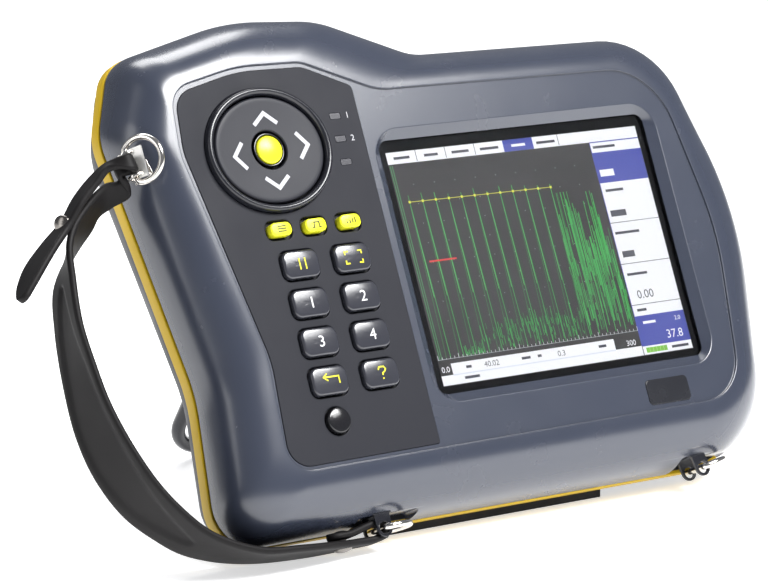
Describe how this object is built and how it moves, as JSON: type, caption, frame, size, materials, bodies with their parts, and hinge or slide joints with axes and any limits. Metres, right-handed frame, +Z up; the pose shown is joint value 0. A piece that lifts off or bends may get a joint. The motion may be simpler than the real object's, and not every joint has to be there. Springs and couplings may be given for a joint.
{
  "type": "ultrasonic flaw detector",
  "caption": "Portable ultrasonic flaw detector: pillow-shaped case with keypad, four-way pad, colour display, hand strap on D-rings, probe sockets and a fold-out wire stand.",
  "frame": {"origin": "centre of the sole of the rubber foot bar, on the plane the case and its open stand rest on", "axes": "+X to the right as the user sees the display, +Y away from the user, +Z up; the case leans back by 25 degrees about X"},
  "size_m": [0.2863, 0.1517, 0.1641],
  "materials": {
    "shell": "fine satin moulding",
    "bumper": "satin",
    "gasket": "matt",
    "panel": "satin film",
    "ring_trim": "polished crest",
    "pad": "satin",
    "key_yellow": "satin silicone",
    "key_grey": "glossy",
    "button_dark": "glossy dome",
    "lens": "unlit",
    "window": "clear, black printed border",
    "screen": "lit display",
    "inner_metal": "plain",
    "inner_rubber": "matt",
    "board": "solder mask",
    "sounder": "matt",
    "badge": "brushed",
    "bright": "polished",
    "strap": "smooth, edge-finished",
    "battery": "sleeved",
    "contact": "plated",
    "cover": "satin",
    "screw": "plain",
    "stand_wire": "black powder coat",
    "stand_rubber": "matt",
    "socket": "nickel",
    "port": "plain"
  },
  "bodies": {
    "case": {"front_shell": "shell", "rear_shell": "shell", "seam_band": "bumper", "front_gasket": "gasket", "rear_gasket": "gasket", "keypad_panel": "panel", "pad_ring": "ring_trim", "status_lenses": "lens", "keypad_mat": "inner_rubber", "keypad_board": "board", "display_window": "window", "lcd_module": "screen", "lcd_bracket": "inner_metal", "main_board": "board", "input_shield": "inner_metal", "alarm_sounder": "sounder", "badge_plate": "badge", "ring_lugs": "bright", "battery_pack": "battery", "battery_contacts": "contact", "battery_cover": "cover", "cover_screws": "screw", "case_screws": "screw", "stand_lugs": "cover", "foot_bar": "stand_rubber", "probe_socket_a": "socket", "probe_socket_b": "socket", "data_socket": "port", "cover_pin": "screw"},
    "key_menu_body": {"key_menu": "key_yellow"},
    "key_gate_body": {"key_gate": "key_yellow"},
    "key_gain_body": {"key_gain": "key_yellow"},
    "key_freeze_body": {"key_freeze": "key_grey"},
    "key_screen_body": {"key_screen": "key_grey"},
    "key_1_body": {"key_1": "key_grey"},
    "key_2_body": {"key_2": "key_grey"},
    "key_3_body": {"key_3": "key_grey"},
    "key_4_body": {"key_4": "key_grey"},
    "key_recall_body": {"key_recall": "key_grey"},
    "key_help_body": {"key_help": "key_grey"},
    "power_button_body": {"power_button": "button_dark"},
    "ok_button_body": {"ok_button": "key_yellow"},
    "pad_pivot_body": {"pad_pivot": "inner_metal"},
    "pad_disc_body": {"pad_disc": "pad"},
    "stand": {"stand_bail": "stand_wire", "stand_sleeve": "stand_rubber"},
    "port_flap": {"port_cover": "stand_rubber"},
    "strap": {"hand_strap": "strap", "strap_studs": "bright", "upper_ring": "bright", "lower_ring": "bright"},
    "corner_d_ring": {"corner_ring": "bright"}
  },
  "joints": [
    {"name": "key_menu_press", "type": "slide", "parent": "case", "child": "key_menu_body", "axis": [0, 0.9063, -0.4226], "range_m": [0, 0.0008], "stiffness_N_per_m": 700},
    {"name": "key_gate_press", "type": "slide", "parent": "case", "child": "key_gate_body", "axis": [0, 0.9063, -0.4226], "range_m": [0, 0.0008], "stiffness_N_per_m": 700},
    {"name": "key_gain_press", "type": "slide", "parent": "case", "child": "key_gain_body", "axis": [0, 0.9063, -0.4226], "range_m": [0, 0.0008], "stiffness_N_per_m": 700},
    {"name": "key_freeze_press", "type": "slide", "parent": "case", "child": "key_freeze_body", "axis": [0, 0.9063, -0.4226], "range_m": [0, 0.0008], "stiffness_N_per_m": 700},
    {"name": "key_screen_press", "type": "slide", "parent": "case", "child": "key_screen_body", "axis": [0, 0.9063, -0.4226], "range_m": [0, 0.0008], "stiffness_N_per_m": 700},
    {"name": "key_1_press", "type": "slide", "parent": "case", "child": "key_1_body", "axis": [0, 0.9063, -0.4226], "range_m": [0, 0.0008], "stiffness_N_per_m": 700},
    {"name": "key_2_press", "type": "slide", "parent": "case", "child": "key_2_body", "axis": [0, 0.9063, -0.4226], "range_m": [0, 0.0008], "stiffness_N_per_m": 700},
    {"name": "key_3_press", "type": "slide", "parent": "case", "child": "key_3_body", "axis": [0, 0.9063, -0.4226], "range_m": [0, 0.0008], "stiffness_N_per_m": 700},
    {"name": "key_4_press", "type": "slide", "parent": "case", "child": "key_4_body", "axis": [0, 0.9063, -0.4226], "range_m": [0, 0.0008], "stiffness_N_per_m": 700},
    {"name": "key_recall_press", "type": "slide", "parent": "case", "child": "key_recall_body", "axis": [0, 0.9063, -0.4226], "range_m": [0, 0.0008], "stiffness_N_per_m": 700},
    {"name": "key_help_press", "type": "slide", "parent": "case", "child": "key_help_body", "axis": [0, 0.9063, -0.4226], "range_m": [0, 0.0008], "stiffness_N_per_m": 700},
    {"name": "power_button_press", "type": "slide", "parent": "case", "child": "power_button_body", "axis": [0, 0.9063, -0.4226], "range_m": [0, 0.0008], "stiffness_N_per_m": 700},
    {"name": "ok_button_press", "type": "slide", "parent": "case", "child": "ok_button_body", "axis": [0, 0.9063, -0.4226], "range_m": [0, 0.0008], "stiffness_N_per_m": 700},
    {"name": "pad_tilt_up_down", "type": "hinge", "parent": "case", "child": "pad_pivot_body", "pos_m": [-0.0715, 0.02149, 0.12554], "axis": [1, 0, 0], "range_deg": [-2.5, 2.5], "stiffness_Nm_per_rad": 0.4},
    {"name": "pad_tilt_left_right", "type": "hinge", "parent": "pad_pivot_body", "child": "pad_disc_body", "pos_m": [-0.0715, 0.02149, 0.12554], "axis": [0, 0.4226, 0.9063], "range_deg": [-2.5, 2.5], "stiffness_Nm_per_rad": 0.4},
    {"name": "stand_hinge", "type": "hinge", "parent": "case", "child": "stand", "pos_m": [0, 0.06817, 0.07244], "axis": [1, 0, 0], "range_deg": [-60.67, 0]},
    {"name": "port_cover_hinge", "type": "hinge", "parent": "case", "child": "port_flap", "pos_m": [0.059, 0.06624, 0.12155], "axis": [1, 0, 0], "range_deg": [-110, 0]},
    {"name": "strap_swing", "type": "hinge", "parent": "case", "child": "strap", "pos_m": [-0.0566, -0.02141, 0.00718], "axis": [-0.4433, 0.3251, 0.8353], "range_deg": [-4, 4]},
    {"name": "corner_ring_swing", "type": "hinge", "parent": "case", "child": "corner_d_ring", "pos_m": [0.07445, -0.02176, 0.00831], "axis": [0, 0.9063, -0.4226], "range_deg": [0, 60]}
  ]
}
